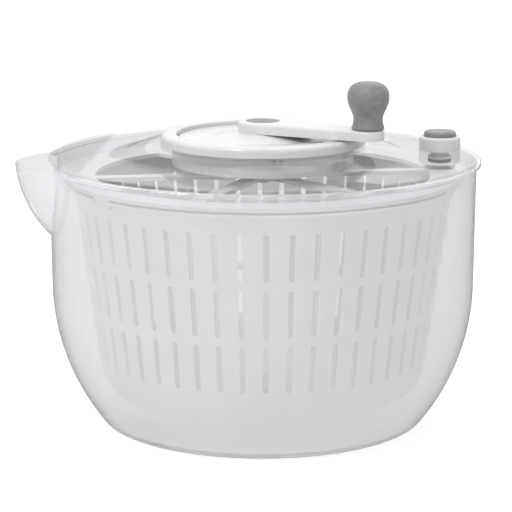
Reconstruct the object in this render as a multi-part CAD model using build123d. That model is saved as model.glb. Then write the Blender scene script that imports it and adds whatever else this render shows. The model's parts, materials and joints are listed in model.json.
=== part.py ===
from build123d import *
import math
import os

# Hand-cranked salad spinner. Millimetres, +Z up. The origin is the centre of the bowl's flat base,
# the basket turns about Z, and the pouring spout points to -X.

# Bowl: flat base, one round flank, a nearly straight upper wall and a rim lip
RIM_Z = 159.0
LIP_RADIUS = 130.0
LIP_HEIGHT = 2.7
LIP_EDGE = 0.9
BOWL_WALL = 2.2
BOWL_FLOOR = 2.6
WALL_TOP_RADIUS = 127.3
FLANK_TOP_RADIUS = 126.6
FLANK_TOP_Z = 85.0
FLANK_ARC = 132.0
BASE_CORNER = 8.0
FLANK_MIDDLE_ANGLE = -20
MOUTH_RELIEF = 0.2
SPOUT_X = -79.9
SPOUT_Z = 163.8
SPOUT_RADIUS = 67.5
SPOUT_HALF_WIDTH = 51.5
SPOUT_BLEND = 1.5
SHORTEST_CREASE = 20.0

# Pivot on the bowl's floor
PIVOT_RADIUS = 3.0
PIVOT_TOP_Z = 20.0
BOSS_RADIUS = 9.0
BOSS_TOP_Z = 11.0
BOSS_FLARE = 2.0
BOSS_TAPER = 2.5

# Basket: a slotted tub with a flange, and a bearing cup in its floor
BASKET_TOP_Z = 146.0
BASKET_FLOOR_Z = 16.0
BASKET_TOP_RADIUS = 113.0
BASKET_FLOOR_RADIUS = 96.0
BASKET_CORNER = 20.0
BASKET_WALL = 2.0
FLANGE_RADIUS = 117.0
FLANGE_THICKNESS = 2.5
SMALL_EDGE = 0.8
WALL_SLOTS = 48
WALL_SLOT_WIDTH = 3.2
WALL_SLOT_LENGTH = 28.0
WALL_SLOT_PITCH = 33.0
WALL_SLOT_BOTTOM_Z = 40.0
WALL_SLOT_ROWS = 3
WALL_SLOT_CUT = 40.0
WALL_SLOT_CUT_START = 83.0
FLOOR_SLOT_WIDTH = 3.2
FLOOR_SLOT_RINGS = ((20, 36, 12), (42, 58, 24), (64, 78, 36))
CUP_RADIUS = 7.0
CUP_BOTTOM_Z = 12.5
CUP_TOP_Z = 24.0
CUP_SEAT_WALL = 2.5
CUP_SEAT_BOTTOM_Z = 13.5
CUP_SEAT_TOP_Z = 22.5

# Lid: flat brim on the rim, a skirt inside it and a raised crown around the gear well
BRIM_Z = RIM_Z + 0.05
LID_WALL = 2.2
BRIM_RADIUS = 127.6
BRIM_INNER_RADIUS = 92.0
SKIRT_RADIUS = 124.6
SKIRT_DEPTH = 8.5
CROWN_RADIUS = 66.0
CROWN_Z = 168.0

# Gear well in the lid's middle
WELL_RADIUS = 54.0
WELL_WALL = 2.4
WELL_FLOOR_Z = 155.0
WELL_FLOOR = 2.8
WELL_GAP = 0.3
COLLAR_RADIUS = 61.0
COLLAR_TOP_Z = 174.0
COLLAR_EDGE = 2.5
WELL_SCREW_RADIUS = 1.4
WELL_SCREW_CIRCLE = 57.6
WELL_SCREW_ANGLES = (30, 150, 270)
WELL_SCREW_HEAD = 1.6
WELL_SCREW_GRIP = 4.0
WELL_SCREW_RECESS = (2.4, 0.7)
PIN_BOSS_Z = 152.5
PIN_BOSS_WALL = 2.5
PIN_SEAT_Z = 153.5

# Gears: one module for the ring, the three idlers and the pinion in the middle
MODULE = 1.5
PRESSURE_ANGLE = math.radians(20)
ADDENDUM = 0.9 * MODULE
DEDENDUM = 1.2 * MODULE
TOOTH_GAP = 0.16
RING_TEETH = 57
IDLER_TEETH = 21
PINION_TEETH = 15
IDLER_CIRCLE = MODULE * (IDLER_TEETH + PINION_TEETH) / 2
IDLER_ANGLES = (90, 210, 330)
GEAR_Z = 158.3
GEAR_WIDTH = 7.0
RING_RADIUS = 48.7
RING_SCREW_RADIUS = 0.8
RING_SCREW_CIRCLE = 46.7
RING_SCREW_SEAT = 1.5
RING_SCREW_SUNK = 0.3
RING_SCREW_GRIP = 2.5
RING_TOP_GAP = 0.4
SLEEVE_RADIUS = 6.5
SLEEVE_BOTTOM_Z = 147.1
BUSH_RADIUS = 9.0
BUSH_FLANGE = 1.5
BUSH_BOTTOM_Z = 154.0
IDLER_PIN_RADIUS = 2.5
IDLER_PIN_TOP_Z = 167.0
IDLER_RECESS_OUTER = 10.5
IDLER_RECESS_INNER = 5.0
IDLER_RECESS_DEPTH = 1.2
IDLER_CLIP_GAP = 0.2
IDLER_CLIP_RIM = 2.3
IDLER_CLIP_THICKNESS = 0.8
RUNNING_GAP = 0.05

# Crank: a disc over the well, an arm across it and a knob at the arm's end
DISC_Z = 168.0
DISC_THICKNESS = 3.5
DISC_RADIUS = 51.2
DISC_EDGE = 1.5
CONE_RADIUS = 32.0
CONE_BLEND = 12.0
ARM_Z = 175.0
ARM_TOP_Z = 181.0
ARM_LENGTH = 70.0
ARM_ANGLE = -38
HUB_RADIUS = 15.0
ARM_END_RADIUS = 9.5
ARM_EDGE = 1.6
AXLE_RADIUS = 3.0
AXLE_BOTTOM_Z = 143.6
AXLE_HEAD_Z = 176.0
AXLE_HEAD_RADIUS = 5.5
AXLE_HEAD_HEIGHT = 2.0
GROOVE_BOTTOM_Z = 144.8
GROOVE_TOP_Z = 145.8
GROOVE_DEPTH = 0.7
AXLE_CLIP_THICKNESS = 0.9
AXLE_CLIP_RIM = 2.0
AXLE_CLIP_MOUTH = 3.6
WASHER_RIM = 3.2
WASHER_THICKNESS = 1.0
CAP_RADIUS = 10.0
CAP_SEAT_Z = 178.4
CAP_HEIGHT = 2.2
CAP_RISE = 1.2
CAP_GAP = 0.1
KNOB_PIN_RADIUS = 3.0
KNOB_PIN_FOOT_Z = 176.5
KNOB_PIN_HEAD_Z = 200.8
KNOB_PIN_HEAD_RADIUS = 5.0
KNOB_PIN_HEAD_HEIGHT = 1.8
KNOB_Z = ARM_TOP_Z + 0.4
KNOB_TOP_Z = 208.5
KNOB_RADIUS = 12.2
KNOB_WAIST_RADIUS = 8.6
KNOB_FOOT_RADIUS = 9.5
KNOB_WAIST_HEIGHT = 6.5
KNOB_FOOT_HEIGHT = 1.2
KNOB_WIDEST_HEIGHT = 19.0
KNOB_CAP_RADIUS = 6.0
KNOB_CAP_BOTTOM_Z = 204.3
KNOB_CAP_EDGE_Z = 207.8
KNOB_CAP_RISE = 0.6

# Driver: the spoked wheel that carries the drive to the notches in the basket's flange
DRIVER_Z = 147.1
DRIVER_PLATE = 2.4
DRIVER_RADIUS = 117.0
DRIVER_RING_WIDTH = 17.0
DRIVER_HUB_RADIUS = 13.0
DRIVER_HUB_TOP_Z = 153.0
SPOKES = 6
SPOKE_WIDTH = 9.0
LUG_ANGLES = (90, 210, 330)
LUG_WIDTH = 14.0
LUG_GAP = 0.5
LUG_BOTTOM_Z = 141.5
LUG_THICKNESS = 2.4
LUG_INSET = 1.8
NOTCH_START = 0.3

# Brake on the lid's brim, opposite the spout
BRAKE_X = 108.0
BRAKE_SHOE_RADIUS = 7.0
BRAKE_SHOE_Z = 156.0
BRAKE_PAD_Z = 153.8
BRAKE_PAD_EDGE = 0.6
STEM_RADIUS = 4.0
GUIDE_RADIUS = 12.5
GUIDE_EDGE = 1.5
GUIDE_SLEEVE_RADIUS = 5.6
GUIDE_SLEEVE_Z = 158.1
GUIDE_FLOOR = 1.5
GUIDE_TOP_Z = 169.5
BUTTON_RADIUS = 9.7
BUTTON_BOTTOM_Z = 167.3
BUTTON_TOP_Z = 172.6
BUTTON_WALL = 1.8
BUTTON_EDGE = 1.6
BUTTON_GAP = 0.3
SPRING_RADIUS = 6.2
SPRING_WIRE = 0.4
SPRING_TURNS = 4
SPRING_GAP = 0.05

UP = (Align.CENTER, Align.CENTER, Align.MIN)


# Shared shapes

def disc(radius, bottom, top):
    """A plain cylinder about Z."""
    return Pos(0, 0, bottom) * Cylinder(radius, top - bottom, align=UP)


def ring(outer, inner, bottom, top):
    """A flat ring about Z."""
    return disc(outer, bottom, top) - disc(inner, bottom, top)


def crowned_disc(radius, bottom, edge_z, rise):
    """A cylinder about Z whose top is part of a sphere that rises in the middle."""
    sphere_radius = (radius**2 + rise**2) / (2 * rise)
    sphere = Pos(0, 0, edge_z + rise - sphere_radius) * Sphere(sphere_radius)
    return disc(radius, bottom, edge_z + 2 * rise) & sphere


def turned(face):
    """Revolve a face, drawn as (radius, z), about Z."""
    return revolve(Plane.XZ * face, Axis.Z)


def polygon(*points):
    """A face with straight sides, drawn as (radius, z)."""
    return make_face(Polyline(*points, close=True))


def corner(face, x, y):
    """The corner of a face at a point."""
    return face.vertices().filter_by(lambda v: math.hypot(v.X - x, v.Y - y) < 0.01)


def around(part, radius, angles):
    """Copies of a part at a radius and at each of the angles."""
    return [Rot(0, 0, angle) * Pos(radius, 0, 0) * part for angle in angles]


def even_angles(count):
    return [360 * i / count for i in range(count)]


# Bowl

def bowl_profile(offset, floor_z, lip_radius, corner_radius):
    """Half section under the bowl's wall surface, moved inwards by the offset."""
    centre_radius = FLANK_TOP_RADIUS - FLANK_ARC
    arc = FLANK_ARC - offset
    floor_radius = centre_radius + math.sqrt(arc**2 - (FLANK_TOP_Z - floor_z) ** 2)
    middle = math.radians(FLANK_MIDDLE_ANGLE)
    flank = ThreePointArc(
        (floor_radius, floor_z),
        (centre_radius + arc * math.cos(middle), FLANK_TOP_Z + arc * math.sin(middle)),
        (FLANK_TOP_RADIUS - offset, FLANK_TOP_Z),
    )
    rest = Polyline(
        (FLANK_TOP_RADIUS - offset, FLANK_TOP_Z),
        (WALL_TOP_RADIUS - offset, RIM_Z - LIP_HEIGHT),
        (lip_radius, RIM_Z - LIP_HEIGHT),
        (lip_radius, RIM_Z),
        (0, RIM_Z),
        (0, floor_z),
        (floor_radius, floor_z),
    )
    face = make_face(Curve() + [flank, rest])
    return fillet(corner(face, floor_radius, floor_z), corner_radius)


def spout_body(offset):
    """The spout's round body below the rim: an ellipsoid of revolution about an axis along Y."""
    radius = SPOUT_RADIUS - offset
    half_width = SPOUT_HALF_WIDTH - offset
    half = Ellipse(radius, half_width) & Pos(radius / 2, 0) * Rectangle(radius, 2 * half_width)
    body = Pos(SPOUT_X, 0, SPOUT_Z) * revolve(half, Axis.Y)
    above_rim = Pos(SPOUT_X, 0, RIM_Z) * Box(3 * radius, 3 * half_width, 3 * radius, align=UP)
    return body - above_rim


def make_bowl():
    """Bowl with its lip and spout, hollowed to a thin wall, and a boss for the pivot pin."""
    outside = bowl_profile(0, 0, LIP_RADIUS, BASE_CORNER)
    lip_corners = corner(outside, LIP_RADIUS, RIM_Z) + corner(outside, LIP_RADIUS, RIM_Z - LIP_HEIGHT)
    outside = turned(fillet(lip_corners, LIP_EDGE))
    mouth_radius = WALL_TOP_RADIUS - BOWL_WALL + MOUTH_RELIEF
    inside = turned(bowl_profile(BOWL_WALL, BOWL_FLOOR, mouth_radius, BASE_CORNER - BOWL_WALL))
    bowl = outside + spout_body(0) - inside - spout_body(BOWL_WALL)
    curved = bowl.edges().filter_by(GeomType.BSPLINE)
    creases = curved.filter_by(lambda edge: edge.bounding_box().size.Z > SHORTEST_CREASE)
    bowl = fillet(creases, SPOUT_BLEND)
    boss = turned(
        polygon(
            (PIVOT_RADIUS, BOWL_FLOOR - 1.0),
            (BOSS_RADIUS + BOSS_FLARE, BOWL_FLOOR - 1.0),
            (BOSS_RADIUS, BOWL_FLOOR + BOSS_FLARE),
            (BOSS_RADIUS - BOSS_TAPER, BOSS_TOP_Z),
            (PIVOT_RADIUS, BOSS_TOP_Z),
        )
    )
    return bowl + boss


def make_pivot_pin():
    """Steel pin pressed into the boss; the basket rides on its rounded tip."""
    pin = disc(PIVOT_RADIUS, BOWL_FLOOR, PIVOT_TOP_Z)
    return fillet(pin.edges().group_by(Axis.Z)[-1], 1.0)


# Basket

def make_basket():
    """Slotted tub with a notched flange and a seat for the bearing cup in its floor."""
    inner_floor_z = BASKET_FLOOR_Z + BASKET_WALL
    flange_z = BASKET_TOP_Z - FLANGE_THICKNESS
    outside = polygon(
        (0, BASKET_FLOOR_Z),
        (BASKET_FLOOR_RADIUS, BASKET_FLOOR_Z),
        (BASKET_TOP_RADIUS, flange_z),
        (FLANGE_RADIUS, flange_z),
        (FLANGE_RADIUS, BASKET_TOP_Z),
        (0, BASKET_TOP_Z),
    )
    outside = fillet(corner(outside, BASKET_FLOOR_RADIUS, BASKET_FLOOR_Z), BASKET_CORNER)
    flange_corners = corner(outside, FLANGE_RADIUS, flange_z) + corner(outside, FLANGE_RADIUS, BASKET_TOP_Z)
    outside = fillet(flange_corners, SMALL_EDGE)
    inside = polygon(
        (0, inner_floor_z),
        (BASKET_FLOOR_RADIUS - BASKET_WALL, inner_floor_z),
        (BASKET_TOP_RADIUS - BASKET_WALL, BASKET_TOP_Z),
        (0, BASKET_TOP_Z),
    )
    inner_corner = corner(inside, BASKET_FLOOR_RADIUS - BASKET_WALL, inner_floor_z)
    inside = fillet(inner_corner, BASKET_CORNER - BASKET_WALL)
    seat = ring(CUP_RADIUS + CUP_SEAT_WALL, CUP_RADIUS, CUP_SEAT_BOTTOM_Z, CUP_SEAT_TOP_Z)
    basket = turned(outside) - turned(inside) - disc(CUP_RADIUS, CUP_BOTTOM_Z, CUP_TOP_Z) + seat
    return basket - wall_slots() - floor_slots() - lug_notches()


def wall_slots():
    """Upright slots through the basket's side, in rows."""
    slot = extrude(Plane.YZ * SlotOverall(WALL_SLOT_LENGTH, WALL_SLOT_WIDTH, rotation=90), WALL_SLOT_CUT)
    slots = []
    for row in range(WALL_SLOT_ROWS):
        middle_z = WALL_SLOT_BOTTOM_Z + row * WALL_SLOT_PITCH + WALL_SLOT_LENGTH / 2
        slots += around(Pos(0, 0, middle_z) * slot, WALL_SLOT_CUT_START, even_angles(WALL_SLOTS))
    return slots


def floor_slots():
    """Radial slots through the basket's floor, in rings."""
    slots = []
    for inner, outer, count in FLOOR_SLOT_RINGS:
        slot = extrude(SlotOverall(outer - inner, FLOOR_SLOT_WIDTH), 3 * BASKET_WALL)
        slot = Pos(0, 0, BASKET_FLOOR_Z - BASKET_WALL) * slot
        slots += around(slot, (inner + outer) / 2, even_angles(count))
    return slots


def lug_notches():
    """Notches in the basket's flange, open outwards, for the driver's lugs."""
    width = LUG_WIDTH + 2 * LUG_GAP
    outwards = (Align.MIN, Align.CENTER, Align.CENTER)
    notch = Box(FLANGE_RADIUS, width, 3 * FLANGE_THICKNESS, align=outwards)
    return around(Pos(0, 0, BASKET_TOP_Z) * notch, BASKET_TOP_RADIUS + NOTCH_START, LUG_ANGLES)


def make_bearing_cup():
    """Cup with a blind bore that rides on the pivot pin."""
    cup = disc(CUP_RADIUS, CUP_BOTTOM_Z, CUP_TOP_Z)
    cup = chamfer(cup.edges().group_by(Axis.Z)[-1], SMALL_EDGE)
    return cup - disc(PIVOT_RADIUS + RUNNING_GAP, CUP_BOTTOM_Z, PIVOT_TOP_Z + RUNNING_GAP)


# Lid

def make_lid_shell():
    """Clear lid: flat brim, skirt, curved shoulder and a flat crown with a round hole."""
    brim_top = BRIM_Z + LID_WALL
    middle_radius = (BRIM_INNER_RADIUS + CROWN_RADIUS) / 2
    middle_top = (brim_top + CROWN_Z) / 2
    slope = (CROWN_RADIUS - BRIM_INNER_RADIUS, 2 * (CROWN_Z - brim_top))
    hole_radius = WELL_RADIUS + WELL_GAP
    skirt_inner = SKIRT_RADIUS - LID_WALL
    skirt_bottom = BRIM_Z - SKIRT_DEPTH
    brim = Polyline(
        (BRIM_INNER_RADIUS, BRIM_Z),
        (skirt_inner, BRIM_Z),
        (skirt_inner, skirt_bottom),
        (SKIRT_RADIUS, skirt_bottom),
        (SKIRT_RADIUS, BRIM_Z),
        (BRIM_RADIUS, BRIM_Z),
        (BRIM_RADIUS, brim_top),
        (BRIM_INNER_RADIUS, brim_top),
    )
    shoulder_top = Spline(
        (BRIM_INNER_RADIUS, brim_top),
        (middle_radius, middle_top),
        (CROWN_RADIUS, CROWN_Z),
        tangents=((-1, 0), (-1, 0)),
    )
    crown = Polyline(
        (CROWN_RADIUS, CROWN_Z),
        (hole_radius, CROWN_Z),
        (hole_radius, CROWN_Z - LID_WALL),
        (CROWN_RADIUS, CROWN_Z - LID_WALL),
    )
    shoulder_under = Spline(
        (CROWN_RADIUS, CROWN_Z - LID_WALL),
        (middle_radius, middle_top - LID_WALL),
        (BRIM_INNER_RADIUS, BRIM_Z),
        tangents=((1, 0), (1, 0)),
    )
    face = make_face(Curve() + [brim, shoulder_top, crown, shoulder_under])
    face = fillet(corner(face, BRIM_RADIUS, BRIM_Z) + corner(face, BRIM_RADIUS, brim_top), SMALL_EDGE)
    lid = turned(face)
    screw_hole = Pos(0, 0, CROWN_Z) * Cylinder(WELL_SCREW_RADIUS + 0.2, 4 * LID_WALL)
    guide_hole = Pos(0, 0, BRIM_Z) * Cylinder(GUIDE_SLEEVE_RADIUS, 4 * LID_WALL)
    return lid - around(screw_hole, WELL_SCREW_CIRCLE, WELL_SCREW_ANGLES) - around(guide_hole, BRAKE_X, [0])


def make_gear_well():
    """White well that hangs in the lid's hole, with a rounded collar that rests on the crown."""
    inner = WELL_RADIUS - WELL_WALL
    floor_top = WELL_FLOOR_Z + WELL_FLOOR
    face = polygon(
        (BUSH_RADIUS, WELL_FLOOR_Z),
        (WELL_RADIUS, WELL_FLOOR_Z),
        (WELL_RADIUS, CROWN_Z),
        (COLLAR_RADIUS, CROWN_Z),
        (COLLAR_RADIUS, COLLAR_TOP_Z),
        (inner, COLLAR_TOP_Z),
        (inner, floor_top),
        (BUSH_RADIUS, floor_top),
    )
    face = fillet(corner(face, COLLAR_RADIUS, COLLAR_TOP_Z), COLLAR_EDGE)
    face = fillet(corner(face, inner, COLLAR_TOP_Z) + corner(face, WELL_RADIUS, WELL_FLOOR_Z), 1.0)
    pin_boss = disc(IDLER_PIN_RADIUS + PIN_BOSS_WALL, PIN_BOSS_Z, WELL_FLOOR_Z)
    pin_hole = disc(IDLER_PIN_RADIUS, PIN_SEAT_Z, floor_top)
    screw_hole = disc(WELL_SCREW_RADIUS, CROWN_Z, CROWN_Z + WELL_SCREW_GRIP + 0.2)
    well = turned(face) + around(pin_boss, IDLER_CIRCLE, IDLER_ANGLES)
    well -= around(pin_hole, IDLER_CIRCLE, IDLER_ANGLES)
    return well - around(screw_hole, WELL_SCREW_CIRCLE, WELL_SCREW_ANGLES)


def make_well_screws():
    """Screws that come up through the lid's crown into the collar."""
    length, width = WELL_SCREW_RECESS
    head_z = CROWN_Z - LID_WALL - WELL_SCREW_HEAD
    head = disc(2 * WELL_SCREW_RADIUS, head_z, head_z + WELL_SCREW_HEAD)
    head = fillet(head.edges().group_by(Axis.Z)[0], WELL_SCREW_RADIUS / 2)
    cross = Box(length, width, WELL_SCREW_HEAD) + Box(width, length, WELL_SCREW_HEAD)
    shank = disc(WELL_SCREW_RADIUS, head_z + WELL_SCREW_HEAD / 2, CROWN_Z + WELL_SCREW_GRIP)
    screw = head + shank - Pos(0, 0, head_z) * cross
    return Compound(around(screw, WELL_SCREW_CIRCLE, WELL_SCREW_ANGLES))


def make_sun_bush():
    """Flanged bush in the well's floor that the drive pinion's sleeve turns in."""
    bore = SLEEVE_RADIUS + RUNNING_GAP
    sleeve = ring(BUSH_RADIUS, bore, BUSH_BOTTOM_Z, WELL_FLOOR_Z + WELL_FLOOR)
    return sleeve + ring(BUSH_RADIUS + BUSH_FLANGE, bore, BUSH_BOTTOM_Z, WELL_FLOOR_Z)


def make_idler_pins():
    """Steel pins pressed into the well's floor, one for each idler."""
    pin = disc(IDLER_PIN_RADIUS, PIN_SEAT_Z, IDLER_PIN_TOP_Z)
    pin = chamfer(pin.edges().group_by(Axis.Z)[-1], 0.4)
    return Compound(around(pin, IDLER_CIRCLE, IDLER_ANGLES))


def make_idler_clips():
    """Push-on clips over the idlers, each with three relief slots."""
    bottom = GEAR_Z + GEAR_WIDTH + IDLER_CLIP_GAP
    top = bottom + IDLER_CLIP_THICKNESS
    clip = ring(IDLER_PIN_RADIUS + IDLER_CLIP_RIM, IDLER_PIN_RADIUS, bottom, top)
    slot = Box(2 * IDLER_CLIP_THICKNESS, IDLER_CLIP_THICKNESS, 4 * IDLER_CLIP_THICKNESS)
    clip -= around(Pos(0, 0, bottom) * slot, IDLER_PIN_RADIUS, even_angles(3))
    return Compound(around(clip, IDLER_CIRCLE, IDLER_ANGLES))


# Gears

def half_tooth_angle(teeth, radius, gap):
    """Half the angle that an involute tooth fills at a radius, less the flank's gap, in radians."""
    pitch_radius = MODULE * teeth / 2
    base_radius = pitch_radius * math.cos(PRESSURE_ANGLE)
    roll = math.acos(min(1.0, base_radius / radius))
    involute = (math.tan(PRESSURE_ANGLE) - PRESSURE_ANGLE) - (math.tan(roll) - roll)
    return math.pi / (2 * teeth) + involute - gap / (2 * pitch_radius)


def toothed_face(teeth, root_radius, tip_radius, gap, first_angle):
    """Disc with a tooth centred on the first angle. A negative gap makes the cutter for a ring gear."""
    flank_steps = 4
    points = []
    for tooth in range(teeth):
        middle = math.radians(first_angle) + 2 * math.pi * tooth / teeth
        flank = []
        for step in range(flank_steps + 1):
            radius = root_radius + (tip_radius - root_radius) * step / flank_steps
            flank.append((radius, half_tooth_angle(teeth, radius, gap)))
        for radius, half in flank:
            points.append((radius * math.cos(middle - half), radius * math.sin(middle - half)))
        for radius, half in reversed(flank):
            points.append((radius * math.cos(middle + half), radius * math.sin(middle + half)))
    return make_face(Polyline(*points, close=True))


def external_gear(teeth, first_angle):
    """Spur gear about Z with a tooth centred on the first angle."""
    pitch_radius = MODULE * teeth / 2
    face = toothed_face(teeth, pitch_radius - DEDENDUM, pitch_radius + ADDENDUM, TOOTH_GAP, first_angle)
    return Pos(0, 0, GEAR_Z) * extrude(face, GEAR_WIDTH)


def make_ring_gear():
    """Internal ring gear with a solid flange at the top, screwed under the crank's disc."""
    pitch_radius = MODULE * RING_TEETH / 2
    space = toothed_face(
        RING_TEETH, pitch_radius - ADDENDUM, pitch_radius + DEDENDUM, -TOOTH_GAP, IDLER_ANGLES[0]
    )
    teeth_top = GEAR_Z + GEAR_WIDTH + RING_TOP_GAP
    teeth = Pos(0, 0, GEAR_Z) * extrude(Circle(RING_RADIUS) - space, teeth_top - GEAR_Z)
    flange = ring(RING_RADIUS, pitch_radius - ADDENDUM, teeth_top, DISC_Z)
    seat = disc(2 * RING_SCREW_RADIUS, GEAR_Z, GEAR_Z + RING_SCREW_SEAT)
    hole = disc(RING_SCREW_RADIUS, GEAR_Z, DISC_Z) + seat
    return teeth + flange - around(hole, RING_SCREW_CIRCLE, ring_screw_angles())


def ring_screw_angles():
    """The ring's screws pass through it outside three of its teeth, between the spaces."""
    half_pitch = 180 / RING_TEETH
    return [angle + half_pitch for angle in IDLER_ANGLES]


def make_ring_screws():
    """Countersunk-flush screws that hold the ring gear to the crank's disc."""
    head_z = GEAR_Z + RING_SCREW_SUNK
    seat_z = GEAR_Z + RING_SCREW_SEAT
    head = disc(2 * RING_SCREW_RADIUS, head_z, seat_z)
    slot = Pos(0, 0, head_z) * Box(4 * RING_SCREW_RADIUS, 0.5, 1.0)
    screw = head - slot + disc(RING_SCREW_RADIUS, seat_z, DISC_Z + RING_SCREW_GRIP)
    return Compound(around(screw, RING_SCREW_CIRCLE, ring_screw_angles()))


def make_idler_gear(angle):
    """Idler with a tooth space that faces the pinion, on its pin's running bore."""
    half_pitch = 180 / IDLER_TEETH
    gear = external_gear(IDLER_TEETH, 180 + angle + half_pitch)
    gear_top = GEAR_Z + GEAR_WIDTH
    bore = disc(IDLER_PIN_RADIUS + RUNNING_GAP, GEAR_Z, gear_top)
    recess = ring(IDLER_RECESS_OUTER, IDLER_RECESS_INNER, gear_top - IDLER_RECESS_DEPTH, gear_top)
    place = math.radians(angle)
    return Pos(IDLER_CIRCLE * math.cos(place), IDLER_CIRCLE * math.sin(place), 0) * (gear - bore - recess)


def make_drive_pinion():
    """Pinion in the middle, with a round sleeve through the bush and a hexagon for the driver."""
    sleeve = disc(SLEEVE_RADIUS, DRIVER_HUB_TOP_Z, GEAR_Z)
    hexagon = Pos(0, 0, SLEEVE_BOTTOM_Z) * extrude(
        RegularPolygon(SLEEVE_RADIUS, 6), DRIVER_HUB_TOP_Z - SLEEVE_BOTTOM_Z
    )
    pinion = external_gear(PINION_TEETH, IDLER_ANGLES[0]) + sleeve + hexagon
    return pinion - disc(AXLE_RADIUS + RUNNING_GAP, SLEEVE_BOTTOM_Z, GEAR_Z + GEAR_WIDTH)


# Crank

def make_crank():
    """Turning disc with a low cone and the arm across its middle, moulded in one."""
    disc_top = DISC_Z + DISC_THICKNESS
    face = polygon(
        (0, DISC_Z),
        (DISC_RADIUS, DISC_Z),
        (DISC_RADIUS, disc_top),
        (CONE_RADIUS, disc_top),
        (HUB_RADIUS, ARM_Z),
        (HUB_RADIUS, ARM_TOP_Z),
        (0, ARM_TOP_Z),
    )
    face = fillet(corner(face, DISC_RADIUS, disc_top), DISC_EDGE)
    face = fillet(corner(face, CONE_RADIUS, disc_top), CONE_BLEND)
    crank = turned(face) + make_arm()
    crank = fillet(crank.edges().filter_by(Plane.XY).group_by(Axis.Z)[-1], ARM_EDGE)
    head_room = disc(AXLE_HEAD_RADIUS + CAP_GAP, AXLE_HEAD_Z, CAP_SEAT_Z)
    axle_hole = disc(AXLE_RADIUS, DISC_Z, AXLE_HEAD_Z) + head_room
    cap_seat = disc(CAP_RADIUS + CAP_GAP, CAP_SEAT_Z, ARM_TOP_Z)
    pin_hole = on_arm(disc(KNOB_PIN_RADIUS, KNOB_PIN_FOOT_Z, ARM_TOP_Z))
    screw_hole = disc(RING_SCREW_RADIUS, DISC_Z, DISC_Z + RING_SCREW_GRIP)
    crank = crank - axle_hole - cap_seat - pin_hole
    return crank - around(screw_hole, RING_SCREW_CIRCLE, ring_screw_angles())


def make_arm():
    """Tapered bar with round ends, from the hub to the knob."""
    arm_end = Pos(ARM_LENGTH, 0) * Circle(ARM_END_RADIUS)
    outline = make_hull(Circle(HUB_RADIUS).edges() + arm_end.edges())
    return Rot(0, 0, ARM_ANGLE) * Pos(0, 0, ARM_Z) * extrude(outline, ARM_TOP_Z - ARM_Z)


def on_arm(part):
    """Move a part from the Z axis to the arm's end."""
    return Rot(0, 0, ARM_ANGLE) * Pos(ARM_LENGTH, 0, 0) * part


def make_centre_axle():
    """Steel axle pressed into the crank, with a head on top and a clip groove at its foot."""
    head = disc(AXLE_HEAD_RADIUS, AXLE_HEAD_Z, AXLE_HEAD_Z + AXLE_HEAD_HEIGHT)
    axle = disc(AXLE_RADIUS, AXLE_BOTTOM_Z, AXLE_HEAD_Z) + head
    groove = ring(2 * AXLE_RADIUS, AXLE_RADIUS - GROOVE_DEPTH, GROOVE_BOTTOM_Z, GROOVE_TOP_Z)
    axle = chamfer(axle.edges().group_by(Axis.Z)[0], 0.5)
    return fillet(axle.edges().group_by(Axis.Z)[-1], 0.9) - groove


def make_axle_washer():
    """Steel washer between the pinion's sleeve and the axle's clip."""
    return ring(AXLE_RADIUS + WASHER_RIM, AXLE_RADIUS, GROOVE_TOP_Z, GROOVE_TOP_Z + WASHER_THICKNESS)


def make_axle_clip():
    """Open clip in the axle's groove."""
    bottom = GROOVE_BOTTOM_Z + (GROOVE_TOP_Z - GROOVE_BOTTOM_Z - AXLE_CLIP_THICKNESS) / 2
    top = bottom + AXLE_CLIP_THICKNESS
    clip = ring(AXLE_RADIUS + AXLE_CLIP_RIM, AXLE_RADIUS - GROOVE_DEPTH, bottom, top)
    mouth = Pos(AXLE_RADIUS, 0, bottom) * Box(2 * AXLE_RADIUS, AXLE_CLIP_MOUTH, 4 * AXLE_CLIP_THICKNESS)
    return clip - mouth


def make_crank_cap():
    """Slightly crowned cap that covers the axle's head."""
    return crowned_disc(CAP_RADIUS, CAP_SEAT_Z, CAP_SEAT_Z + CAP_HEIGHT, CAP_RISE)


# Knob

def make_knob_pin():
    """Shouldered steel pin, pressed into the arm, with a head inside the knob."""
    head = disc(KNOB_PIN_HEAD_RADIUS, KNOB_PIN_HEAD_Z, KNOB_PIN_HEAD_Z + KNOB_PIN_HEAD_HEIGHT)
    return on_arm(disc(KNOB_PIN_RADIUS, KNOB_PIN_FOOT_Z, KNOB_PIN_HEAD_Z) + head)


def make_knob():
    """Slim knob with a low waist and a domed top, bored out at the top for the pin's head."""
    widest_z = KNOB_Z + KNOB_WIDEST_HEIGHT
    foot_z = KNOB_Z + KNOB_FOOT_HEIGHT
    outline = Curve() + [
        Polyline((0, KNOB_TOP_Z), (0, KNOB_Z), (KNOB_FOOT_RADIUS, KNOB_Z), (KNOB_FOOT_RADIUS, foot_z)),
        Spline(
            (KNOB_FOOT_RADIUS, foot_z),
            (KNOB_WAIST_RADIUS, KNOB_Z + KNOB_WAIST_HEIGHT),
            (KNOB_RADIUS, widest_z),
            tangents=((-0.5, 1), (0, 1)),
        ),
        Spline(
            (KNOB_RADIUS, widest_z),
            (0.8 * KNOB_RADIUS, KNOB_TOP_Z - 2.0),
            (0, KNOB_TOP_Z),
            tangents=((0, 1), (-1, 0)),
        ),
    ]
    knob = turned(make_face(outline))
    bore = disc(KNOB_PIN_RADIUS + RUNNING_GAP, KNOB_Z, KNOB_PIN_HEAD_Z)
    head_room = disc(KNOB_CAP_RADIUS, KNOB_PIN_HEAD_Z - 0.3, KNOB_TOP_Z + 1)
    return on_arm(knob - bore - head_room)


def make_knob_cap():
    """Plug with a crowned top that closes the knob."""
    return on_arm(crowned_disc(KNOB_CAP_RADIUS, KNOB_CAP_BOTTOM_Z, KNOB_CAP_EDGE_Z, KNOB_CAP_RISE))


# Driver

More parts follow.
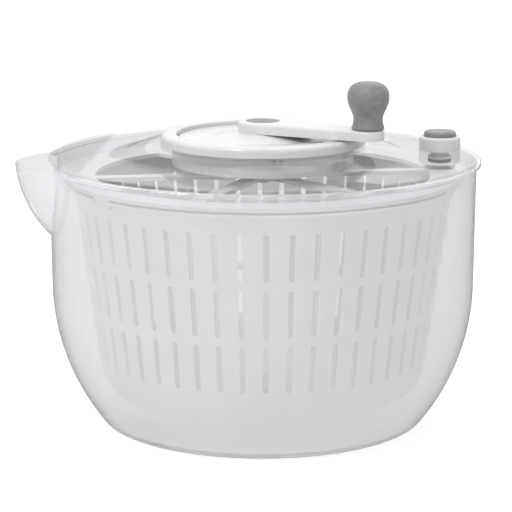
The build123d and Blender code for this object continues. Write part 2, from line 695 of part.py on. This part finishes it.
def make_basket_driver():
    """Spoked wheel under the lid, keyed on the pinion's hexagon, with lugs for the basket's notches."""
    plate_top = DRIVER_Z + DRIVER_PLATE
    inner = DRIVER_RADIUS - DRIVER_RING_WIDTH
    rim = ring(DRIVER_RADIUS, inner, DRIVER_Z, plate_top)
    hub = disc(DRIVER_HUB_RADIUS, DRIVER_Z, DRIVER_HUB_TOP_Z)
    middle = (DRIVER_HUB_RADIUS + inner) / 2
    spoke = Pos(0, 0, DRIVER_Z) * Box(inner - DRIVER_HUB_RADIUS + 4, SPOKE_WIDTH, DRIVER_PLATE, align=UP)
    lug = Pos(0, 0, LUG_BOTTOM_Z) * Box(LUG_THICKNESS, LUG_WIDTH, DRIVER_Z - LUG_BOTTOM_Z, align=UP)
    bore = Pos(0, 0, DRIVER_Z) * extrude(RegularPolygon(SLEEVE_RADIUS, 6), DRIVER_HUB_TOP_Z - DRIVER_Z)
    driver = rim + hub + around(spoke, middle, even_angles(SPOKES))
    return driver + around(lug, DRIVER_RADIUS - LUG_INSET, LUG_ANGLES) - bore


# Brake

def at_brake(part):
    """Move a part from the Z axis to the brake's place on the lid."""
    return Pos(BRAKE_X, 0, 0) * part


def make_brake_guide():
    """Round bezel on the brim with a sleeve through it for the button's stem."""
    floor_z = BRIM_Z + LID_WALL
    bezel = ring(GUIDE_RADIUS, BUTTON_RADIUS + BUTTON_GAP, floor_z, GUIDE_TOP_Z)
    bezel = fillet(bezel.edges().group_by(Axis.Z)[-1].sort_by(SortBy.LENGTH)[-1], GUIDE_EDGE)
    floor = ring(GUIDE_RADIUS, STEM_RADIUS + RUNNING_GAP, floor_z, floor_z + GUIDE_FLOOR)
    sleeve = ring(GUIDE_SLEEVE_RADIUS, STEM_RADIUS + RUNNING_GAP, GUIDE_SLEEVE_Z, floor_z + GUIDE_FLOOR)
    return at_brake(bezel + floor + sleeve)


def make_brake_button():
    """Hollow cap with a stem that reaches down through the guide to the shoe."""
    cap = disc(BUTTON_RADIUS, BUTTON_BOTTOM_Z, BUTTON_TOP_Z)
    cap = fillet(cap.edges().group_by(Axis.Z)[-1], BUTTON_EDGE)
    hollow = disc(BUTTON_RADIUS - BUTTON_WALL, BUTTON_BOTTOM_Z, BUTTON_TOP_Z - BUTTON_WALL)
    stem = disc(STEM_RADIUS, BRAKE_SHOE_Z, BUTTON_TOP_Z - BUTTON_WALL)
    return at_brake(cap - hollow + stem)


def make_brake_shoe():
    """Flange pressed on the stem's foot; it stops the button from rising and carries the pad."""
    return at_brake(ring(BRAKE_SHOE_RADIUS, STEM_RADIUS, BRAKE_SHOE_Z, GUIDE_SLEEVE_Z - 0.2))


def make_brake_pad():
    """Rubber pad under the shoe, pressed on the driver's ring."""
    pad = disc(BRAKE_SHOE_RADIUS, BRAKE_PAD_Z, BRAKE_SHOE_Z)
    return at_brake(fillet(pad.edges().group_by(Axis.Z)[0], BRAKE_PAD_EDGE))


def make_brake_spring():
    """Compression spring between the guide's floor and the button's cap."""
    end_room = SPRING_WIRE + SPRING_GAP
    bottom = BRIM_Z + LID_WALL + GUIDE_FLOOR + end_room
    height = BUTTON_TOP_Z - BUTTON_WALL - end_room - bottom
    coil = Helix(height / SPRING_TURNS, height, SPRING_RADIUS)
    section = Plane(origin=coil @ 0, z_dir=coil % 0) * Circle(SPRING_WIRE)
    return at_brake(Pos(0, 0, bottom) * sweep(section, path=coil))


def make_all():
    """Every sub-part by its node's name."""
    nodes = {
        "bowl": make_bowl(),
        "pivot_pin": make_pivot_pin(),
        "basket": make_basket(),
        "bearing_cup": make_bearing_cup(),
        "lid_shell": make_lid_shell(),
        "gear_well": make_gear_well(),
        "well_screws": make_well_screws(),
        "sun_bush": make_sun_bush(),
        "idler_pins": make_idler_pins(),
        "idler_clips": make_idler_clips(),
        "ring_gear": make_ring_gear(),
        "ring_screws": make_ring_screws(),
        "drive_pinion": make_drive_pinion(),
        "crank": make_crank(),
        "centre_axle": make_centre_axle(),
        "axle_washer": make_axle_washer(),
        "axle_clip": make_axle_clip(),
        "crank_cap": make_crank_cap(),
        "knob_pin": make_knob_pin(),
        "knob": make_knob(),
        "knob_cap": make_knob_cap(),
        "basket_driver": make_basket_driver(),
        "brake_guide": make_brake_guide(),
        "brake_button": make_brake_button(),
        "brake_shoe": make_brake_shoe(),
        "brake_pad": make_brake_pad(),
        "brake_spring": make_brake_spring(),
    }
    for number, angle in enumerate(IDLER_ANGLES, start=1):
        nodes[f"idler_gear_{number}"] = make_idler_gear(angle)
    return nodes


if __name__ == "__main__":
    os.makedirs("parts", exist_ok=True)
    for name, part in make_all().items():
        export_step(part, f"parts/{name}.step")
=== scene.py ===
import json
import math

import bpy
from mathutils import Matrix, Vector


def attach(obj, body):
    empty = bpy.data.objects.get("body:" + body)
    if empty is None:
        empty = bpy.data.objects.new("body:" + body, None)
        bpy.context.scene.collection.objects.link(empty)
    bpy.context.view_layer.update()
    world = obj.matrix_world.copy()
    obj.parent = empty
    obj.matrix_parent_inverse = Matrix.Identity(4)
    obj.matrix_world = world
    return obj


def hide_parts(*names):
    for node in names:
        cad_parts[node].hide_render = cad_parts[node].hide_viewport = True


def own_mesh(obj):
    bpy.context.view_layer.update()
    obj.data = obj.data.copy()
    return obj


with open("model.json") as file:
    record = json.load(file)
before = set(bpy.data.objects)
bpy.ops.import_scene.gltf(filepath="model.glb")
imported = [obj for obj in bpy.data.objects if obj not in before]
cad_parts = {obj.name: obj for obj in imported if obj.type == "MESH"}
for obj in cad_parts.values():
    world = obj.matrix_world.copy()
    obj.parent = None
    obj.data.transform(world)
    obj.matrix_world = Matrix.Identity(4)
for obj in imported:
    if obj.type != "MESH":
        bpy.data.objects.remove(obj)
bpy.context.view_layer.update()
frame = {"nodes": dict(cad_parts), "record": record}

# The main view: from a little above, turned a few degrees towards the spout
CAMERA_DISTANCE = 1.3
CAMERA_ELEVATION = math.radians(12.75)
CAMERA_TURN = math.radians(8.5)
CAMERA_LENS = 151.0
AIM_SIDE = -0.0041
AIM_HEIGHT = 0.0986
BOWL_MIDDLE = 0.08

# Light: a dome, greyer at the horizon and white from FULL_SHADE_HEIGHT (1 is overhead), with three
# soft lamps, over a floor that stays white
DOME_STRENGTH = 0.8
HORIZON_SHADE = 0.75
FULL_SHADE_HEIGHT = 0.8
LAMPS = (
    # name, place, diameter, power
    ("key", (-0.9, -0.9, 1.4), 0.5, 12),
    ("top", (0.2, 0.4, 1.6), 1.2, 5),
    ("back", (0.6, 1.3, 0.9), 1.8, 4),
)
LAMP_TARGET = (0, 0, 0.1)
FLOOR_SIZE = 120
FLOOR_Z = -0.0002
FLOOR_SHADE = 0.4
FLOOR_ROUGHNESS = 0.9
FLOOR_GLOW = 0.75
REFLECTED_FLOOR_Z = 0.00005
REFLECTED_FLOOR = 0.38

# The bowl's milky wall: a low index keeps its outlines soft, a gloss coat lies over it, and a painted
# shade darkens its colour where it is seen edge-on
WALL_TINT = (0.915, 0.915, 0.93, 1)
# Painted shade: the near-black colour painted where the wall is seen edge-on, and the facing value
# where that painting begins
WALL_EDGE_PAINTED_SHADE = (0.08, 0.075, 0.075, 1)
WALL_PAINTED_SHADE_START = 0.86
WALL_CLEARNESS = 0.75
WALL_INDEX = 1.04
WALL_COAT_ROUGHNESS = 0.04

# The clear lid
LID_TINT = (0.96, 0.965, 0.97, 1)
LID_INDEX = 1.45


# Camera, floor and light

def add_camera():
    """The main view's camera, aimed beside the middle of the bowl."""
    data = bpy.data.cameras.new("camera")
    data.lens = CAMERA_LENS
    camera = bpy.data.objects.new("camera", data)
    back = Vector((-math.sin(CAMERA_TURN), -math.cos(CAMERA_TURN), 0))
    right = Vector((math.cos(CAMERA_TURN), -math.sin(CAMERA_TURN), 0))
    reach = CAMERA_DISTANCE * math.cos(CAMERA_ELEVATION)
    height = BOWL_MIDDLE + CAMERA_DISTANCE * math.sin(CAMERA_ELEVATION)
    camera.location = back * reach + Vector((0, 0, height))
    aim = right * AIM_SIDE + Vector((0, 0, AIM_HEIGHT))
    camera.rotation_euler = (aim - camera.location).to_track_quat("-Z", "Y").to_euler()
    bpy.context.collection.objects.link(camera)
    bpy.context.scene.camera = camera


def add_floor():
    """A matt white floor. It glows a little, so that it stays white beside the object."""
    bpy.ops.mesh.primitive_plane_add(size=FLOOR_SIZE, location=(0, 0, FLOOR_Z))
    floor = bpy.context.object
    floor.name = "floor"
    material, shader = new_material("floor_paint")
    shader.inputs["Base Color"].default_value = grey(FLOOR_SHADE)
    shader.inputs["Roughness"].default_value = FLOOR_ROUGHNESS
    shader.inputs["Emission Color"].default_value = grey(1)
    shader.inputs["Emission Strength"].default_value = FLOOR_GLOW
    floor.data.materials.append(material)


def add_reflected_floor():
    """What gloss sees of the floor: a darker surface, as under a lamp-lit table, so outlines show."""
    bpy.ops.mesh.primitive_plane_add(size=FLOOR_SIZE, location=(0, 0, REFLECTED_FLOOR_Z))
    card = bpy.context.object
    card.name = "reflected_floor"
    material, shader = new_material("reflected_floor")
    shader.inputs["Base Color"].default_value = grey(0)
    shader.inputs["Specular IOR Level"].default_value = 0
    shader.inputs["Emission Color"].default_value = grey(1)
    shader.inputs["Emission Strength"].default_value = REFLECTED_FLOOR
    card.data.materials.append(material)
    card.visible_camera = False
    card.visible_diffuse = False
    card.visible_transmission = False
    card.visible_shadow = False


def add_area_light(name, place, size, power):
    """A round lamp turned towards the object."""
    data = bpy.data.lights.new(name, "AREA")
    data.shape = "DISK"
    data.size = size
    data.energy = power
    light = bpy.data.objects.new(name, data)
    light.location = place
    light.rotation_euler = (Vector(LAMP_TARGET) - Vector(place)).to_track_quat("-Z", "Y").to_euler()
    bpy.context.collection.objects.link(light)


def add_studio_light():
    """A dome that lights the object, behind a plain white background, and three soft lamps."""
    world = bpy.data.worlds.new("studio")
    world.use_nodes = True
    tree = world.node_tree
    place = tree.nodes.new("ShaderNodeTexCoord")
    split = tree.nodes.new("ShaderNodeSeparateXYZ")
    shade = tree.nodes.new("ShaderNodeValToRGB")
    shade.color_ramp.elements[0].position = 0.0
    shade.color_ramp.elements[0].color = grey(HORIZON_SHADE)
    shade.color_ramp.elements[1].position = FULL_SHADE_HEIGHT
    shade.color_ramp.elements[1].color = grey(1)
    tree.links.new(place.outputs["Generated"], split.inputs["Vector"])
    tree.links.new(split.outputs["Z"], shade.inputs["Fac"])
    tree.links.new(shade.outputs["Color"], tree.nodes["Background"].inputs["Color"])
    tree.nodes["Background"].inputs["Strength"].default_value = DOME_STRENGTH
    backdrop = tree.nodes.new("ShaderNodeBackground")
    backdrop.inputs["Color"].default_value = grey(1)
    path = tree.nodes.new("ShaderNodeLightPath")
    mix = tree.nodes.new("ShaderNodeMixShader")
    tree.links.new(path.outputs["Is Camera Ray"], mix.inputs["Fac"])
    tree.links.new(tree.nodes["Background"].outputs["Background"], mix.inputs[1])
    tree.links.new(backdrop.outputs["Background"], mix.inputs[2])
    tree.links.new(mix.outputs["Shader"], tree.nodes["World Output"].inputs["Surface"])
    bpy.context.scene.world = world
    bpy.context.scene.view_settings.view_transform = "Standard"
    for name, place, size, power in LAMPS:
        add_area_light(name, place, size, power)


# Materials

def new_material(name):
    """A new material and its Principled shader."""
    material = bpy.data.materials.new(name)
    material.use_nodes = True
    return material, material.node_tree.nodes["Principled BSDF"]


def rgb(red, green, blue):
    """An opaque colour."""
    return (red, green, blue, 1)


def grey(level):
    """A neutral opaque colour."""
    return rgb(level, level, level)


def noise(material, scale, detail=3.0):
    """Noise in object space, in metres."""
    tree = material.node_tree
    place = tree.nodes.new("ShaderNodeTexCoord")
    texture = tree.nodes.new("ShaderNodeTexNoise")
    texture.inputs["Scale"].default_value = scale
    texture.inputs["Detail"].default_value = detail
    tree.links.new(place.outputs["Object"], texture.inputs["Vector"])
    return texture.outputs["Fac"]


def ramp(material, value, low, high, start=0.35, end=0.65):
    """Maps a value to colours between low and high."""
    node = material.node_tree.nodes.new("ShaderNodeValToRGB")
    node.color_ramp.elements[0].position = start
    node.color_ramp.elements[0].color = low
    node.color_ramp.elements[1].position = end
    node.color_ramp.elements[1].color = high
    material.node_tree.links.new(value, node.inputs["Fac"])
    return node.outputs["Color"]


def uneven_roughness(material, shader, scale, low, high):
    """Roughness that wanders between low and high over the surface."""
    level = ramp(material, noise(material, scale), grey(low), grey(high), start=0.3, end=0.7)
    material.node_tree.links.new(level, shader.inputs["Roughness"])


def bump(material, shader, height, strength, distance):
    """Raises and lowers the surface by a height value, up to distance in metres."""
    node = material.node_tree.nodes.new("ShaderNodeBump")
    node.inputs["Strength"].default_value = strength
    node.inputs["Distance"].default_value = distance
    material.node_tree.links.new(height, node.inputs["Height"])
    material.node_tree.links.new(node.outputs["Normal"], shader.inputs["Normal"])


def painted_edge_shade(material, shader, middle, edge, start):
    """Paints shade into the glass's colour where it is seen edge-on: from middle to edge, beginning
    at start (0 square on, 1 edge-on).
    """
    view = material.node_tree.nodes.new("ShaderNodeLayerWeight")
    view.inputs["Blend"].default_value = 0.5
    colour = ramp(material, view.outputs["Facing"], middle, edge, start=start, end=1.0)
    material.node_tree.links.new(colour, shader.inputs["Base Color"])


def frosted_plastic():
    """Milky see-through polypropylene: a little haze, soft inside, glossy outside."""
    material, shader = new_material("frosted_bowl")
    # Painted shade: the wall's colour is darkened where it is seen edge-on, to draw dark outlines
    painted_edge_shade(material, shader, WALL_TINT, WALL_EDGE_PAINTED_SHADE, WALL_PAINTED_SHADE_START)
    shader.inputs["Transmission Weight"].default_value = WALL_CLEARNESS
    uneven_roughness(material, shader, scale=45, low=0.21, high=0.25)
    shader.inputs["IOR"].default_value = WALL_INDEX
    shader.inputs["Coat Weight"].default_value = 1.0
    shader.inputs["Coat Roughness"].default_value = WALL_COAT_ROUGHNESS
    bump(material, shader, noise(material, 60), strength=0.04, distance=0.0003)
    return material


def outer_mirror(material):
    """How much a surface mirrors on its outer side; seen from inside the wall it mirrors nothing."""
    tree = material.node_tree
    share = tree.nodes.new("ShaderNodeFresnel")
    share.inputs["IOR"].default_value = LID_INDEX
    side = tree.nodes.new("ShaderNodeNewGeometry")
    outer = tree.nodes.new("ShaderNodeMath")
    outer.operation = "SUBTRACT"
    outer.inputs[0].default_value = 1.0
    tree.links.new(side.outputs["Backfacing"], outer.inputs[1])
    product = tree.nodes.new("ShaderNodeMath")
    product.operation = "MULTIPLY"
    tree.links.new(share.outputs["Fac"], product.inputs[0])
    tree.links.new(outer.outputs["Value"], product.inputs[1])
    return product.outputs["Value"]


def clear_plastic():
    """Thin clear plastic: it passes the light straight and mirrors a little, more where edge-on."""
    material = new_material("clear_lid")[0]
    tree = material.node_tree
    clear = tree.nodes.new("ShaderNodeBsdfTransparent")
    clear.inputs["Color"].default_value = LID_TINT
    mirror = tree.nodes.new("ShaderNodeBsdfGlossy")
    uneven_roughness(material, mirror, scale=60, low=0.02, high=0.05)
    mix = tree.nodes.new("ShaderNodeMixShader")
    tree.links.new(outer_mirror(material), mix.inputs["Fac"])
    tree.links.new(clear.outputs["BSDF"], mix.inputs[1])
    tree.links.new(mirror.outputs["BSDF"], mix.inputs[2])
    tree.links.new(mix.outputs["Shader"], tree.nodes["Material Output"].inputs["Surface"])
    return material


def moulded_plastic(name, low, high, roughness, grain):
    """Opaque moulded plastic: a faint mottle, uneven gloss and a fine grain."""
    material, shader = new_material(name)
    colour = ramp(material, noise(material, 60), low, high)
    material.node_tree.links.new(colour, shader.inputs["Base Color"])
    uneven_roughness(material, shader, scale=130, low=roughness - 0.05, high=roughness + 0.05)
    bump(material, shader, noise(material, grain), strength=0.02, distance=0.00005)
    return material


def soft_grip(name, low, high):
    """Grey rubbery plastic with a fine sanded surface and a soft sheen."""
    material, shader = new_material(name)
    colour = ramp(material, noise(material, 300, detail=6.0), low, high)
    material.node_tree.links.new(colour, shader.inputs["Base Color"])
    uneven_roughness(material, shader, scale=200, low=0.42, high=0.55)
    shader.inputs["Sheen Weight"].default_value = 0.15
    bump(material, shader, noise(material, 6000, detail=6.0), strength=0.35, distance=0.00008)
    return material


def steel():
    """Turned steel: fine rings along the pin, with uneven polish."""
    material, shader = new_material("steel")
    tree = material.node_tree
    colour = ramp(material, noise(material, 400, detail=6.0), grey(0.52), grey(0.66))
    tree.links.new(colour, shader.inputs["Base Color"])
    shader.inputs["Metallic"].default_value = 1.0
    uneven_roughness(material, shader, scale=700, low=0.2, high=0.36)
    rings = tree.nodes.new("ShaderNodeTexWave")
    rings.bands_direction = "Z"
    rings.inputs["Scale"].default_value = 900
    rings.inputs["Distortion"].default_value = 2.0
    place = tree.nodes.new("ShaderNodeTexCoord")
    tree.links.new(place.outputs["Object"], rings.inputs["Vector"])
    bump(material, shader, rings.outputs["Fac"], strength=0.2, distance=0.00003)
    return material


# Opaque moulded plastics: darker and lighter colour, roughness, and the grain's fineness
MOULDED_PLASTICS = {
    "basket_plastic": (rgb(0.80, 0.80, 0.79), rgb(0.86, 0.86, 0.85), 0.4, 2500),
    "white_housing": (rgb(0.68, 0.68, 0.67), rgb(0.72, 0.72, 0.71), 0.25, 2500),
    "white_crank": (rgb(0.68, 0.68, 0.67), rgb(0.72, 0.72, 0.71), 0.25, 2500),
    "driver_plastic": (rgb(0.74, 0.74, 0.73), rgb(0.79, 0.79, 0.78), 0.35, 2500),
    "gear_plastic": (rgb(0.68, 0.66, 0.58), rgb(0.72, 0.70, 0.62), 0.35, 2500),
    "pad_rubber": (rgb(0.02, 0.02, 0.02), rgb(0.04, 0.04, 0.04), 0.8, 5000),
}


def make_materials():
    """One material for each slot in the record."""
    materials = {name: moulded_plastic(name, *look) for name, look in MOULDED_PLASTICS.items()}
    materials["frosted_bowl"] = frosted_plastic()
    materials["clear_lid"] = clear_plastic()
    materials["grey_knob"] = soft_grip("grey_knob", rgb(0.19, 0.195, 0.20), rgb(0.24, 0.245, 0.25))
    materials["grey_trim"] = soft_grip("grey_trim", rgb(0.20, 0.205, 0.21), rgb(0.25, 0.255, 0.26))
    materials["steel"] = steel()
    return materials


def dress_cad_nodes():
    """Gives each CAD node the material of its slot in the record."""
    materials = make_materials()
    for part in frame["record"]["subparts"]:
        mesh = frame["nodes"][part["node"]].data
        mesh.materials.clear()
        mesh.materials.append(materials[part["material_slot"]])


# The brake's spring

def add_brake_spring():
    """The brake's return spring as a copy of its CAD node with its own mesh, on the lid's body; the
    CAD node is hidden.
    """
    node = frame["nodes"]["brake_spring"]
    coil = bpy.data.objects.new("brake_spring_coil", node.data.copy())
    coil.matrix_world = node.matrix_world
    bpy.context.collection.objects.link(coil)
    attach(coil, "lid")
    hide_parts("brake_spring")
    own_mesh(coil)


add_camera()
add_floor()
add_reflected_floor()
add_studio_light()
dress_cad_nodes()
add_brake_spring()
